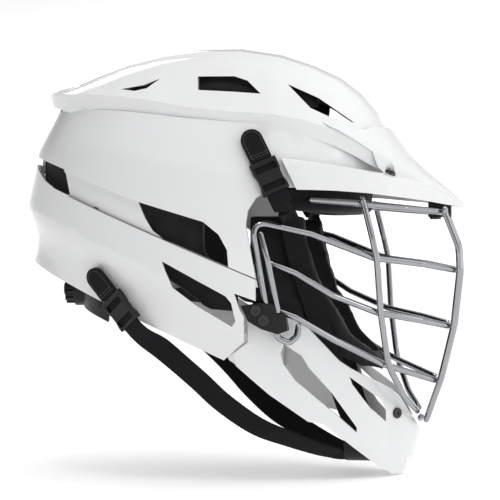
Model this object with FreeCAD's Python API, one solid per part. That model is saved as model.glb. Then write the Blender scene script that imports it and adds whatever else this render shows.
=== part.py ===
import FreeCAD, Part
import math
import os

# Lacrosse helmet with a wire face guard, in millimetres.
# Origin midway between the wearer's ear canals, +X forward, +Y to the wearer's left, +Z up.

# Shells
shell_wall = 3.0
step_depth = 2.6
lower_wall = 2.4
part_gap = 0.6
widest_x = 5.0
outline_power = 2.25
dome_power = 2.2
ridge_half_width = 30.0
ridge_chamfer = 2.5

# Face guard
wire_diameter = 4.8
weld_bite = 0.2
wire_bend = 16.0
upright_bend = 30.0
tight_bend = 6.0

# Visor and chin guard
visor_wall = 2.8
chin_wall = 3.2
chin_fall = 0.77

# Straps and their fittings
strap_width = 16.0
strap_thickness = 1.6
tab_thickness = 3.0
tab_length = 24.0
upper_tab_lift = 2.2
lower_tab_lift = 4.2
stud_radius = 3.0
stud_height_in_tab = 1.6
stud_inset = 8.0
stud_bite = 1.4
stud_clearance = 0.08
glide_width = 20.0
glide_waist = 18.0
glide_length = 25.0
glide_thickness = 5.0
glide_clearance = 0.25
glide_travel = 5.0
glide_window = 5.0
slip = 0.3
cup_radius = 27.0
cup_wall = 2.5
cup_pad_thickness = 5.0
cup_length = 24.0
cup_half_angle = 65.0

# Fit system at the nape
dial_radius = 11.5
dial_thickness = 7.0
dial_grips = 12
grip_radius = 1.6
axle_radius = 2.5
axle_clearance = 0.06
housing_radius = 13.0
cradle_wall = 3.0
cradle_pad_thickness = 7.0
band_width = 12.0
band_thickness = 1.5

# Liner
seat_gap = 0.2
liner_thickness = 15.0
jaw_pad_thickness = 12.0
brow_pad_inset = 9.0

# Fasteners
screw_head_radius = 4.0
screw_head_height = 1.6
screw_shank_radius = 1.9
screw_length = 8.0
socket_radius = 1.6
socket_depth = 0.9

V = FreeCAD.Vector


def save(name, shape):
    shape.exportStep("parts/" + name + ".step")
    print("%-24s solids %2d  volume %9.0f  valid %s" % (name, len(shape.Solids), shape.Volume, shape.isValid()))


def mirrored(shape):
    return shape.mirror(V(0, 0, 0), V(0, 1, 0))


def both_sides(shape):
    return Part.makeCompound([shape, mirrored(shape)])


def largest(shape):
    return max(shape.Solids, key=lambda solid: solid.Volume)


# Outline of the side wall on a sloping level: rear reach, front reach, half width,
# height above the ear and fall for each millimetre forward
CREASE_LEVEL = (104.0, 146.0, 82.0, 112.0, 0.08)
BROW_LEVEL = (108.0, 147.0, 88.0, 98.0, 0.08)
PANEL_LEVEL = (118.5, 143.0, 102.0, 62.0, 0.20)
BELT_LEVEL = (125.0, 138.0, 107.0, 24.0, 0.38)
SEAM_LEVEL = (125.0, 134.0, 106.0, -8.0, 0.45)
RIDGE_LEVEL = (132.0, 134.0, 107.5, -28.0, 0.49)
NECK_LEVEL = (124.5, 132.0, 99.0, -46.0, 0.47)
HEM_LEVEL = (128.0, 130.0, 95.0, -64.3, 0.457)


def level_wire(level, inset=0.0, lift=0.0):
    rear, front, half_width, height, fall = level
    points = []
    count = 14
    for k in range(count):
        turn = 2 * math.pi * k / count
        c = math.cos(turn)
        s = math.sin(turn)
        reach = (front - widest_x if c > 0 else rear + widest_x) - inset
        x = widest_x + reach * math.copysign(abs(c) ** (2 / outline_power), c)
        y = (half_width - inset) * math.copysign(abs(s) ** (2 / outline_power), s)
        points.append(V(x, y, height + lift - fall * x))
    curve = Part.BSplineCurve()
    curve.interpolate(Points=points, PeriodicFlag=True, Parameters=[k / count for k in range(count + 1)])
    return Part.Wire([curve.toShape()])


def eased_rows(rows, pieces):
    """Rows of sizes with smooth in-between rows, so that the form has no kink at a row."""
    last = len(rows) - 1
    eased = []
    for i in range(last):
        before = rows[max(i - 1, 0)]
        after = rows[min(i + 2, last)]
        for k in range(pieces):
            t = k / pieces
            row = []
            for a, b, c, d in zip(before, rows[i], rows[i + 1], after):
                start = (c - a) / 2 if i > 0 else c - b
                end = (d - b) / 2 if i < last - 1 else c - b
                row.append((2 * t ** 3 - 3 * t ** 2 + 1) * b + (t ** 3 - 2 * t ** 2 + t) * start
                           + (3 * t ** 2 - 2 * t ** 3) * c + (t ** 3 - t ** 2) * end)
            eased.append(tuple(row))
    eased.append(rows[last])
    return eased


def wall_body(levels, inset=0.0, top_lift=0.0, bottom_drop=0.0, pieces=2):
    rows = eased_rows(levels, pieces)
    wires = [level_wire(row, inset) for row in rows]
    wires[0] = level_wire(rows[0], inset, top_lift)
    wires[-1] = level_wire(rows[-1], inset, -bottom_drop)
    return Part.makeLoft(wires, True, True)


# Cross arches of the crown: x, top height, crease height, crease half width,
# underside height, underside half width and how far the centre ridge stands proud
CROWN_ARCHES = [
    (-117.0, 121.0, 119.6, 12.0, 119.0, 8.0, 0.2),
    (-108.0, 123.5, 118.5, 36.0, 109.0, 30.0, 0.6),
    (-90.0, 127.5, 116.5, 60.0, 103.0, 56.0, 1.2),
    (-72.0, 135.0, 115.2, 71.5, 101.0, 68.0, 1.5),
    (-50.0, 143.5, 113.0, 80.5, 99.5, 77.5, 1.8),
    (-25.0, 150.0, 109.3, 86.0, 96.5, 83.0, 2.0),
    (5.0, 154.0, 103.8, 88.3, 92.5, 85.0, 2.0),
    (35.0, 154.0, 100.3, 88.3, 90.0, 85.5, 1.8),
    (65.0, 149.0, 98.5, 85.0, 87.5, 82.5, 1.4),
    (90.0, 140.5, 94.0, 79.0, 83.0, 76.5, 0.9),
    (110.0, 131.0, 87.5, 71.5, 76.0, 69.0, 0.5),
    (125.0, 119.5, 79.5, 63.5, 68.5, 61.0, 0.3),
    (138.0, 105.0, 71.5, 54.5, 61.0, 52.0, 0.2),
    (148.0, 85.0, 66.0, 46.0, 57.0, 43.5, 0.2),
]


def arch_wire(row, inset=0.0, drop=0.0):
    x, top, crease_z, crease_y, under_z, under_y, rise = row
    top -= inset
    crease_z -= 0.6 * inset
    crease_y -= 1.3 * inset
    under_z -= drop
    under_y -= inset
    half = min(ridge_half_width, 0.45 * crease_y)
    foot = half + min(ridge_chamfer, 0.08 * crease_y)

    def dome(y):
        return crease_z + (top - rise - crease_z) * (1 - (abs(y) / crease_y) ** dome_power)

    def curve(first, last, lift):
        steps = 4
        widths = [first + (last - first) * k / steps for k in range(steps + 1)]
        spline = Part.BSplineCurve()
        spline.interpolate(Points=[V(x, y, dome(y) + lift) for y in widths],
                           Parameters=[k / steps for k in range(steps + 1)])
        return spline.toShape()

    corners = [V(x, -crease_y, crease_z), V(x, -under_y, under_z), V(x, under_y, under_z),
               V(x, crease_y, crease_z)]
    edges = [Part.makeLine(corners[k], corners[k + 1]) for k in range(3)]
    edges.append(curve(crease_y, foot, 0))
    edges.append(Part.makeLine(V(x, foot, dome(foot)), V(x, half, dome(half) + rise)))
    edges.append(curve(half, -half, rise))
    edges.append(Part.makeLine(V(x, -half, dome(half) + rise), V(x, -foot, dome(foot))))
    edges.append(curve(-foot, -crease_y, 0))
    return Part.Wire(edges)


def crown_body(rows, inset=0.0, drop=0.0):
    return Part.makeLoft([arch_wire(row, inset, drop) for row in rows], True, True)


def side_prism(points, low_y=-160.0, high_y=160.0):
    """A side-view outline of (x, z) points, carried across the helmet."""
    corners = [V(x, low_y, z) for x, z in points]
    return Part.Face(Part.makePolygon(corners + corners[:1])).extrude(V(0, high_y - low_y, 0))


def plan_prism(points, low_z, high_z):
    corners = [V(x, y, low_z) for x, y in points]
    return Part.Face(Part.makePolygon(corners + corners[:1])).extrude(V(0, 0, high_z - low_z))


def belt_z(x):
    return BELT_LEVEL[3] - BELT_LEVEL[4] * x


SEAM_HEIGHT = 4.0
SEAM_FALL = 0.43
TUCK = 6.0


def seam_z(x):
    return SEAM_HEIGHT - SEAM_FALL * x


# Side-view outlines, as (x, z) points
FACE_OPENING = [(64, -60), (60, -37), (50.2, 18), (51.5, 28), (57, 37), (66, 43.5), (75, 45),
                (150, 43.5), (250, 40), (250, -260), (64, -260)]
UPPER_EDGE_FRONT = [(9, belt_z(9)), (24, 13), (30.5, 5), (34, -4), (36.5, seam_z(36.5))]
SIDE_VENT = [(-28, belt_z(-28)), (-23, 23), (-17.5, 14), (-9, 7.5), (2, seam_z(2)), (38, seam_z(38)),
             (37, 0), (31, 11), (20, 20)]
REAR_VENT = [(-140, belt_z(-140) + 2), (-88, belt_z(-88) + 2), (-83.5, 41), (-90, 40), (-107, 49.5), (-119, 60),
             (-140, 66)]
rear_web_half = 11.0
LOWER_VENT = [(-10, -8), (36, -33), (40, -38), (43, -51), (40, -55), (15, -40), (-2, -27), (-7, -16)]
LOWER_TOP_REAR = [(-121, 65.5), (-115, 59.5), (-107, 52), (-97, 45.6), (-84, seam_z(-84))]
LOWER_FRONT_END = [(42, -31), (57, -36.5), (57, -10), (90, -10), (90, -140), (30, -140), (33, -79.5), (38, -74.5),
                   (48, -66), (49, -48), (46, -43)]
CROWN_VENT_MIDDLE = [(9, 128), (36, 128), (46, 124.5), (57, 114), (36, 115.5), (11, 117)]
CROWN_VENT_FRONT = [(75, 122), (98, 111.5), (124, 93.5), (108, 96.5), (93, 103.5)]
CROWN_VENT_REAR = [(-47, 118.5), (-30, 121.5), (-19, 126.5), (-27, 118.8), (-36, 116.8)]
vent_inner_y = 40.0
brow_wall_rear = 92.0


def make_upper_shell():
    """The crown and side panels, with a set-back band under the belt line that tucks into the lower shell."""
    above_crease = side_prism([(-150, 122)] + [(row[0], row[4] + 3) for row in CROWN_ARCHES]
                              + [(175, 48), (175, 220), (-150, 220)])
    levels = [CREASE_LEVEL, BROW_LEVEL, PANEL_LEVEL, BELT_LEVEL, SEAM_LEVEL]
    outer = wall_body(levels).cut(above_crease).fuse(crown_body(CROWN_ARCHES))
    rear_x = -200
    below_belt = side_prism([(rear_x, belt_z(rear_x))] + UPPER_EDGE_FRONT
                            + [(66, seam_z(66)), (66, -260), (rear_x, -260)])
    below_tuck = side_prism([(rear_x, seam_z(rear_x) - TUCK), (66, seam_z(66) - TUCK), (66, -260), (rear_x, -260)])
    band = wall_body(levels[2:], step_depth, 0, TUCK + 4).common(below_belt).cut(below_tuck)
    shell = outer.cut([below_belt, side_prism(FACE_OPENING)]).fuse(band.cut(side_prism(FACE_OPENING)))

    thick_zone = side_prism([(rear_x, belt_z(rear_x) + 4), (30, belt_z(30) + 4), (40, 0), (66, seam_z(66) + 6),
                             (66, -260), (rear_x, -260)])
    hollow_low = wall_body(levels[2:], step_depth + shell_wall, 0, TUCK + 8).common(thick_zone)
    hollow_high = wall_body(levels, shell_wall, 2, 6, 1).cut([above_crease, thick_zone])
    hollow_arches = [(-102.0, 124.5, 118.2, 42.0, 105.0, 36.0, 0.8)] + CROWN_ARCHES[2:-1:2]
    hollow_arches.append((144.5, 91.0, 68.0, 49.0, 59.0, 46.0, 0.2))
    brow_wall = wall_body(levels).cut(wall_body(levels, shell_wall)).cut(above_crease)
    brow_wall = brow_wall.common(side_prism([(brow_wall_rear, 30), (brow_wall_rear, 130), (170, 130), (170, 30)]))
    hollow_crown = crown_body(hollow_arches, shell_wall, 9).cut(brow_wall)
    shell = shell.cut(hollow_low).cut(hollow_high).cut(hollow_crown)

    vents = [side_prism(SIDE_VENT)]
    vents += [side_prism(REAR_VENT, -160, -rear_web_half), side_prism(REAR_VENT, rear_web_half, 160)]
    for outline in (CROWN_VENT_MIDDLE, CROWN_VENT_FRONT, CROWN_VENT_REAR):
        vents.append(side_prism(outline, -160, -vent_inner_y))
        vents.append(side_prism(outline, vent_inner_y, 160))
    return shell.cut(vents), outer


def make_lower_shell():
    """The ring round the nape and jaw, flared to a ridge and drawn in below it."""
    flare = [(124.5, 139, 106.5, 22, 0.38), RIDGE_LEVEL]
    under = [RIDGE_LEVEL, NECK_LEVEL, HEM_LEVEL]
    outer = wall_body(flare, 0, 0, 0, 1).fuse(wall_body(under))
    hollow = wall_body(flare, lower_wall, 2, 0, 1).fuse(wall_body(under, lower_wall, 0, 3))
    top_edge = [(-160, 68)] + LOWER_TOP_REAR + [(64.5, seam_z(64.5) - part_gap), (64.5, 200), (-160, 200)]
    front = [(64.5, 200), (64.5, -200), (200, -200), (200, 200)]
    shell = outer.cut([side_prism(top_edge), side_prism(front)]).cut(hollow)
    thick_wall = outer.cut(wall_body(under, lower_wall + seat_gap, 0, 3))
    return shell.cut([side_prism(LOWER_VENT), side_prism(LOWER_FRONT_END)]), thick_wall


# Visor arches: x, then (half width, height) of the lower edge, the side seam, the foot of the
# scoop and the crease, and the height of the centre line
VISOR_ARCHES = [
    (62.0, (98.5, 43.4), (99.5, 66.0), (84.0, 72.0), (80.0, 88.0), 112.0),
    (95.0, (88.0, 43.2), (88.5, 62.3), (77.0, 68.0), (76.5, 93.0), 122.0),
    (113.0, (81.0, 42.7), (81.5, 60.0), (71.0, 65.0), (72.0, 87.5), 124.0),
    (135.0, (70.0, 41.2), (70.0, 56.5), (58.5, 60.5), (59.0, 75.0), 110.0),
    (150.0, (60.5, 39.5), (59.5, 53.5), (48.5, 56.0), (48.5, 66.5), 90.0),
    (163.0, (49.5, 38.0), (46.0, 51.5), (38.0, 53.0), (36.5, 57.5), 72.0),
    (175.0, (37.0, 36.5), (31.0, 48.0), (28.5, 48.6), (27.0, 50.0), 59.8),
    (190.0, (21.0, 34.0), (15.5, 41.5), (13.5, 42.5), (11.5, 43.5), 47.3),
    (202.5, (4.0, 32.2), (3.2, 34.0), (2.6, 34.6), (2.0, 35.0), 36.0),
]
VISOR_BACK_EDGE = [(149, 0), (147, 16), (142, 31), (132, 51), (121, 62), (99, 72), (60, 79)]
VISOR_SCOOP = [(20, 67.5), (80, 65.8), (113, 61.5), (136, 57.5), (146, 56.0), (141, 61), (137.5, 72), (125, 80),
               (112, 87.5), (104, 91.5), (90, 110), (20, 110)]
VISOR_REAR_END = [(40, 30), (89, 30), (86, 42), (75.5, 64), (66, 84), (40, 110)]


def visor_wire(row, inset=0.0):
    x, edge, seam, foot, crease, top = row
    wall = min(inset, 0.45 * edge[0])
    ring = [(edge[0] - wall, edge[1] - 4 * wall), (seam[0] - wall, seam[1] - 0.6 * wall),
            (foot[0] - wall, foot[1] - wall), (crease[0] - wall, crease[1] - wall)]
    top -= wall
    mid = (0.55 * ring[3][0], ring[3][1] + 0.72 * (top - ring[3][1]))
    left = [V(x, -y, z) for y, z in ring]
    right = [V(x, y, z) for y, z in reversed(ring)]
    spline = Part.BSplineCurve()
    spline.interpolate(Points=[left[-1], V(x, -mid[0], mid[1]), V(x, 0, top), V(x, mid[0], mid[1]), right[0]],
                       Parameters=[0, 0.25, 0.5, 0.75, 1])
    edges = [Part.makeLine(left[k], left[k + 1]) for k in range(3)]
    edges.append(spline.toShape())
    edges += [Part.makeLine(right[k], right[k + 1]) for k in range(3)]
    edges.append(Part.makeLine(right[-1], left[0]))
    return Part.Wire(edges)


def make_visor(shell_outer):
    """The peak: a top plate, a side band along the brow and an open scoop between them."""
    outer = Part.makeLoft([visor_wire(row) for row in VISOR_ARCHES], True, True)
    hollow = Part.makeLoft([visor_wire(row, visor_wall) for row in VISOR_ARCHES], True, True)
    back_edge = plan_prism(VISOR_BACK_EDGE + [(x, -y) for x, y in reversed(VISOR_BACK_EDGE[1:])], 66, 170)
    visor = outer.cut([side_prism(VISOR_SCOOP), side_prism(VISOR_REAR_END), back_edge]).cut(hollow).cut(shell_outer)
    return largest(visor)


# Chin guard plan outlines, as (x, half width): along the top, the nose line and the bottom
CHIN_TOP = [(20, 97), (45, 92.5), (64, 84.5), (91, 72.5), (113, 60), (130, 46), (141, 33)]
CHIN_NOSE = [(20, 96), (45, 91), (64, 83), (91, 70.5), (116, 56.5), (136, 41), (148, 28)]
CHIN_BOTTOM = [(20, 92), (45, 87), (64, 78.5), (91, 65), (116, 50), (133, 36), (143, 25)]
CHIN_TIPS = (150.0, 170.0, 156.5)
CHIN_HEIGHTS = (11.5, -5.0, -51.5)
CHIN_SIDE = [(49.6, -48.5), (60, -54.5), (73, -45.5), (86, -51), (91, -56), (102, -68.5), (113, -81), (121, -87),
             (137, -96.5), (149, -104), (154, -109), (161, -121), (169, -134), (185, -136), (172, -150),
             (158.5, -159), (159, -165), (156, -168.5), (150, -168.5), (138, -159.5), (116, -140),
             (101, -127.5), (91, -125.5), (64, -105), (41, -83.5), (39, -75), (49.6, -66.5)]
CHIN_OPENING_REAR = [(74, -68), (87, -77), (92, -86), (108, -105), (125, -131), (125, -135), (113, -123),
                     (82, -95), (74, -83), (72, -75)]
CHIN_OPENING_FRONT = [(120, -93), (142, -111), (145.5, -119), (145.5, -128), (134, -117), (122, -99)]
CHIN_TONGUE = [(56, -58), (44, -62), (32, -71), (36, -79.5), (56, -94)]


def chin_wire(outline, tip, height, inset=0.0):
    def level(x, y):
        return V(x, y, height - chin_fall * x)

    side = [(x - 0.5 * inset * (k > 0), y - 0.9 * inset) for k, (x, y) in enumerate(outline)]
    count = len(side) - 1
    marks = [k / count for k in range(count + 1)]
    near = Part.BSplineCurve()
    near.interpolate(Points=[level(x, -y) for x, y in side], Parameters=marks)
    far = Part.BSplineCurve()
    far.interpolate(Points=[level(x, y) for x, y in reversed(side)], Parameters=marks)
    crease = side[-1]
    reach = tip - inset
    shoulder = (crease[0] + 0.72 * (reach - crease[0]), 0.45 * crease[1])
    nose = Part.BSplineCurve()
    nose.interpolate(Points=[level(crease[0], -crease[1]), level(shoulder[0], -shoulder[1]), level(reach, 0),
                             level(*shoulder), level(*crease)], Parameters=[0, 0.25, 0.5, 0.75, 1])
    back = Part.makeLine(level(*side[0]), level(side[0][0], -side[0][1]))
    return Part.Wire([near.toShape(), nose.toShape(), far.toShape(), back])


def chin_body(inset):
    outlines = (CHIN_TOP, CHIN_NOSE, CHIN_BOTTOM)
    heights = [CHIN_HEIGHTS[0] + 20, CHIN_HEIGHTS[1], CHIN_HEIGHTS[2] - 12]
    return Part.makeLoft([chin_wire(outlines[k], CHIN_TIPS[k], heights[k], inset) for k in range(3)], True, True)


def make_chin_guard(neck_outer):
    wall = chin_body(0).cut(chin_body(chin_wall))
    guard = wall.common(side_prism(CHIN_SIDE))
    tongue = chin_body(chin_wall - 1).cut(chin_body(2 * chin_wall)).common(side_prism(CHIN_TONGUE))
    guard = guard.fuse(tongue.cut(neck_outer))
    return largest(guard.cut([side_prism(CHIN_OPENING_REAR), side_prism(CHIN_OPENING_FRONT)]))


def bent_points(points, bend, steps=2):
    """Points along straight runs, with each corner rounded off in short steps."""
    path = [points[0]]
    for k in range(1, len(points) - 1):
        before = points[k] - points[k - 1]
        after = points[k + 1] - points[k]
        reach = min(bend * math.tan(before.getAngle(after) / 2), 0.45 * before.Length, 0.45 * after.Length)
        first = points[k] - before.normalize() * reach
        last = points[k] + after.normalize() * reach
        for j in range(steps + 1):
            t = j / steps
            path.append(first * (1 - t) ** 2 + points[k] * (2 * t * (1 - t)) + last * t ** 2)
    path.append(points[-1])
    return path


def centre_line(points, bend=wire_bend):
    path = bent_points(points, bend)
    return Part.Wire([Part.makeLine(path[k], path[k + 1]) for k in range(len(path) - 1)])


def rod(points, bend=wire_bend):
    path = bent_points(points, bend)
    section = Part.Wire([Part.makeCircle(wire_diameter / 2, path[0], path[1] - path[0])])
    mitred = 1
    return centre_line(points, bend).makePipeShell([section], True, False, mitred)


def lay_over(points, crossings, bend):
    """Moves an upright's points out until its wire just bites each bar that it crosses."""
    points = list(points)
    for attempt in range(4):
        upright = centre_line(points, bend)
        for k, bar, outward in crossings:
            points[k] += outward * (wire_diameter - weld_bite - upright.distToShape(bar)[0])
    return points


def across(points):
    """Adds the left half of a wire that runs from ear to ear, from its right half."""
    return points + [V(p.x, -p.y, p.z) for p in reversed(points)]


# Face guard: where the wires cross, on the wearer's right
CHEEK_OUT = V(0.45, -0.893, 0)
FRONT_OUT = V(0.80, -0.60, 0)
BROW_CHEEK = V(129.5, -60.5, 34)
EYE_CHEEK = V(139, -60.5, -6)
NOSE_CHEEK = V(141.5, -56, -46)
MOUTH_CHEEK = V(146, -48.5, -84.5)
BROW_FRONT = V(186.5, -22, 28.5)
EYE_FRONT = V(196.5, -21.5, -15)
NOSE_FRONT = V(192.5, -19, -57)
MOUTH_FRONT = V(182.5, -15.5, -98)
CHIN_END = V(168.8, -12.2, -121.5)


def make_cage():
    """The welded wire guard: bars from ear to ear with uprights over them."""
    brow = across([V(92, -76.5, 36.5), BROW_CHEEK, V(160, -44, 31), BROW_FRONT])
    eye = across([V(65, -93, -47), V(53.5, -97.5, 21), V(95, -84, 11.5), EYE_CHEEK, V(174, -42, -10.5), EYE_FRONT])
    nose = across([V(64, -90.2, -8.5), V(84, -87, -16.5), V(110, -75.5, -33), NOSE_CHEEK, V(172, -38.5, -52),
                   NOSE_FRONT])
    mouth = across([V(70, -87, -43), V(84, -84.5, -48.5), V(111, -70.5, -65.5), MOUTH_CHEEK, MOUTH_FRONT])
    chin = [V(170.2, -13.5, -126.5), V(170.2, 13.5, -126.5)]
    lines = [centre_line(brow), centre_line(eye, tight_bend), centre_line(nose), centre_line(mouth)]
    out = CHEEK_OUT * wire_diameter
    cheek = [BROW_CHEEK + out + V(-2, 0, 5), BROW_CHEEK + out, V(138, -65.5, 8), EYE_CHEEK + out, NOSE_CHEEK + out,
             MOUTH_CHEEK + out, V(159, -30, -109), CHIN_END]
    crossings = [(k, line, CHEEK_OUT) for k, line in zip((1, 3, 4, 5), lines)]
    cheek = lay_over(cheek, crossings + [(7, centre_line(chin), V(0, 0, 1))], upright_bend)
    out = FRONT_OUT * wire_diameter
    front = [BROW_FRONT + out + V(-1, 0, 4), BROW_FRONT + out, V(199, -24.5, 2), EYE_FRONT + out, NOSE_FRONT + out,
             MOUTH_FRONT + out, V(178, -13, -118), V(173.6, -6.2, -130)]
    crossings = [(k, line, FRONT_OUT) for k, line in zip((1, 3, 4, 5), lines)]
    front = lay_over(front, crossings + [(7, centre_line(chin), V(1, 0, 0))], upright_bend)
    rear = rod([V(59.6, -96.0, 13.5), V(65, -94.8, -8), V(72.5, -91.5, -46)])
    loop = rod([V(86, -83.2, -53), V(85, -84, -62), V(79, -85.5, -67.5), V(71, -87, -63), V(69.5, -88, -52)],
               tight_bend)
    return {
        "cage_brow_bar": rod(brow), "cage_eye_bar": rod(eye, tight_bend), "cage_nose_bar": rod(nose),
        "cage_mouth_bar": rod(mouth), "cage_cheek_uprights": both_sides(rod(cheek, upright_bend)),
        "cage_front_uprights": both_sides(rod(front, upright_bend)), "cage_rear_uprights": both_sides(rear),
        "cage_jaw_loops": both_sides(loop), "cage_chin_bar": rod(chin),
    }


def box_between(low, high):
    size = high - low
    return Part.makeBox(size.x, size.y, size.z, low)


def surface_point(shape, start, direction):
    """Where a line from outside first meets a shape."""
    hits = shape.common(Part.makeLine(start, start + direction * 300)).Vertexes
    return min((hit.Point for hit in hits), key=lambda point: (point - start).Length)


def screw(seat, outward, length=screw_length):
    """A pan-head screw, its head on the seat; returns the screw and the hole that takes it."""
    head = Part.makeCylinder(screw_head_radius, screw_head_height, seat, outward)
    shank = Part.makeCylinder(screw_shank_radius, length, seat - outward * length, outward)
    socket = Part.makeCylinder(socket_radius, socket_depth, seat + outward * (screw_head_height - socket_depth),
                               outward)
    return head.fuse(shank).cut(socket), shank


def spot_face(seat, outward, depth=0.0):
    """Room for a screw head, from its seat outward."""
    return Part.makeCylinder(screw_head_radius + slip, 20, seat - outward * depth, outward)


def fasten(host, start, outward, length=screw_length, sink=0.0):
    """A screw where a line from outside meets its host; returns screw, shank and head room."""
    outward = outward.normalize()
    seat = surface_point(host, start, outward * -1) - outward * sink
    body, shank = screw(seat, outward, length)
    return body, shank, spot_face(seat, outward)


def take_screw(host, fitting, spot=True):
    body, shank, room = fitting
    for cutter in ([shank, room] if spot else [shank]):
        host = host.cut([cutter, mirrored(cutter)])
    return host


# Clips that hold the face guard, as (x, z) side-view outlines or corner points
SIDE_CLIP = [(46, -40), (60, -38), (69, -39), (77, -46), (79, -58), (72, -60.5), (60, -56.5), (51, -51)]
SIDE_CLIP_SCREWS = [(56.5, -43.5), (62.0, -50.5)]
side_clip_inner = 84.0


def make_side_clip(wires, around):
    """The block that fills the front lower vent and grips the rear ends of the wires."""
    outer_face = plan_prism([(30, 99.5), (46, 98.5), (62, 96.8), (79, 91.5), (79, side_clip_inner - 3),
                             (30, side_clip_inner)], -80, -20)
    block = side_prism(SIDE_CLIP, 0, 160).common(outer_face)
    return mirrored(largest(block.cut(around + wires)))


def make_brow_clip(wires, around):
    block = box_between(V(176, 4, 25), V(193, 12, 50))
    return largest(block.cut(wires + around))


def make_chin_clip(wires, around):
    block = box_between(V(155, 8, -135), V(171, 13, -123))
    return largest(block.cut(wires + around))


# Local frame of a strap tab: its stud on the shell, the way down the webbing and the way out
class TabFrame:
    def __init__(self, shell, top, heading, lift, end_reach):
        """top and heading are (x, z); the tab lies along the chord of the shell from its stud."""
        away = V(0, -160, 0)
        inward = V(0, 1, 0)
        down = V(heading[0], 0, heading[1]).normalize()
        start = V(top[0], 0, top[1]) + down * stud_inset
        self.foot = surface_point(shell, start + away, inward)
        end = surface_point(shell, start + down * end_reach + away, inward)
        self.down = (end - self.foot).normalize()
        ahead = surface_point(shell, start + V(6, 0, 0) + away, inward)
        behind = surface_point(shell, start - V(6, 0, 0) + away, inward)
        forward = (ahead - behind).normalize()
        self.side = (forward - self.down * self.down.dot(forward)).normalize()
        self.out = self.side.cross(self.down).normalize()
        if self.out.y > 0:
            self.out = self.out * -1
        self.lift = lift

    def at(self, along, across, height):
        """A point; along is measured down the webbing from the stud."""
        return self.foot + self.down * along + self.side * across + self.out * height

    def bar(self, along, width, height):
        """A block from along[0] to along[1] and height[0] to height[1]."""
        corners = [self.at(along[i], width * j / 2, height[0]) for i, j in ((0, -1), (1, -1), (1, 1), (0, 1))]
        face = Part.Face(Part.makePolygon(corners + corners[:1]))
        return face.extrude(self.out * (height[1] - height[0]))

    def plate(self, outline, height):
        """A plate from (along, across) points, from height[0] to height[1]."""
        corners = [self.at(along, across, height[0]) for along, across in outline]
        return Part.Face(Part.makePolygon(corners + corners[:1])).extrude(self.out * (height[1] - height[0]))

    def peg(self, radius, low, high):
        return Part.makeCylinder(radius, high - low, self.at(0, 0, low), self.out)


def make_tab(frame):
    """The round end tab of the webbing, that turns on a stud hidden behind it."""
    top = frame.lift + tab_thickness
    end = tab_length - stud_inset
    body = frame.bar((0, end), strap_width, (frame.lift, top)).fuse(frame.peg(strap_width / 2, frame.lift, top))
    return body.cut(frame.peg(stud_radius + stud_clearance, 0, frame.lift + stud_height_in_tab + stud_clearance))


def make_stud(frame):
    stud = frame.peg(stud_radius, -stud_bite, frame.lift + stud_height_in_tab)
    return stud.fuse(frame.peg(stud_radius + 2, -stud_bite, frame.lift - stud_clearance))


def make_glide(frame):
    """A waisted buckle with a channel for the webbing and two windows over its bars."""
    middle = frame.lift + tab_thickness / 2
    start = tab_length - stud_inset + 1.0
    half = glide_thickness / 2
    room = strap_thickness / 2 + glide_clearance
    edge = [(0, glide_width), (0.34, glide_width), (0.46, glide_waist), (0.68, glide_waist), (0.84, glide_width),
            (1, glide_width)]
    near = [(start + share * glide_length, -width / 2) for share, width in edge]
    far = [(along, -across) for along, across in reversed(near)]
    body = frame.plate(near + far, (middle - half, middle + half))
    cuts = [frame.bar((start - 1, start + glide_length + 1), strap_width + 2 * glide_clearance,
                      (middle - room, middle + room))]
    for share in (0.25, 0.80):
        centre = start + share * glide_length
        cuts.append(frame.bar((centre - glide_window / 2, centre + glide_window / 2), strap_width,
                              (middle, middle + half + 1)))
    return body.cut(cuts)


def webbing(points, facing, width=strap_width, thickness=strap_thickness):
    """Flat webbing through the points; facing holds the way its outer face looks at each."""
    sections = []
    last = len(points) - 1
    for k, point in enumerate(points):
        along = (points[min(k + 1, last)] - points[max(k - 1, 0)]).normalize()
        out = (facing[k] - along * along.dot(facing[k])).normalize()
        wide = along.cross(out) * (width / 2)
        thick = out * (thickness / 2)
        corners = [point + wide + thick, point - wide + thick, point - wide - thick, point + wide - thick]
        sections.append(Part.makePolygon(corners + corners[:1]))
    return Part.makeLoft(sections, True, True)


def strap_start(frame):
    """The straight stretch of webbing that the glide runs on."""
    middle = frame.lift + tab_thickness / 2
    first = tab_length - stud_inset + slip
    return [frame.at(first, 0, middle), frame.at(first + 1 + glide_length + glide_travel + 1, 0, middle)]


# Routes of the webbing on the wearer's right, from the glides to the chin cup: each point with
# the way the webbing faces there
UPPER_ROUTE = [(V(76, -95, 31), V(0.3, -1, 0.5)), (V(79, -84.3, 22.5), V(0.45, -0.89, 0.3)),
               (V(82, -80.2, 9), V(0.45, -0.89, 0)), (V(86, -77.5, -10), V(0.45, -0.89, 0)),
               (V(93, -70.5, -33), V(0.45, -0.89, 0)), (V(100, -62, -58), V(0.45, -0.89, 0)),
               (V(108, -52.6, -84), V(0.45, -0.89, 0)), (V(116, -41.8, -112), V(0.4, -0.9, 0)),
               (V(122, -32, -129), V(0.15, -0.95, -0.2))]
LOWER_ROUTE = [(V(-14, -89.5, -71), V(0, -1, -0.15)), (V(0, -87, -83), V(0, -1, -0.25)),
               (V(14, -82, -96), V(0.1, -1, -0.35)), (V(30, -74.5, -112), V(0.2, -1, -0.5)),
               (V(53, -60, -130), V(0.2, -0.9, -0.6)), (V(76, -43, -141), V(0.1, -0.8, -0.7)),
               (V(97, -26, -150), V(0, -0.68, -0.74))]
CUP_CENTRE = V(125, 0, -133.5)
lower_strap_angle = 40.0


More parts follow.
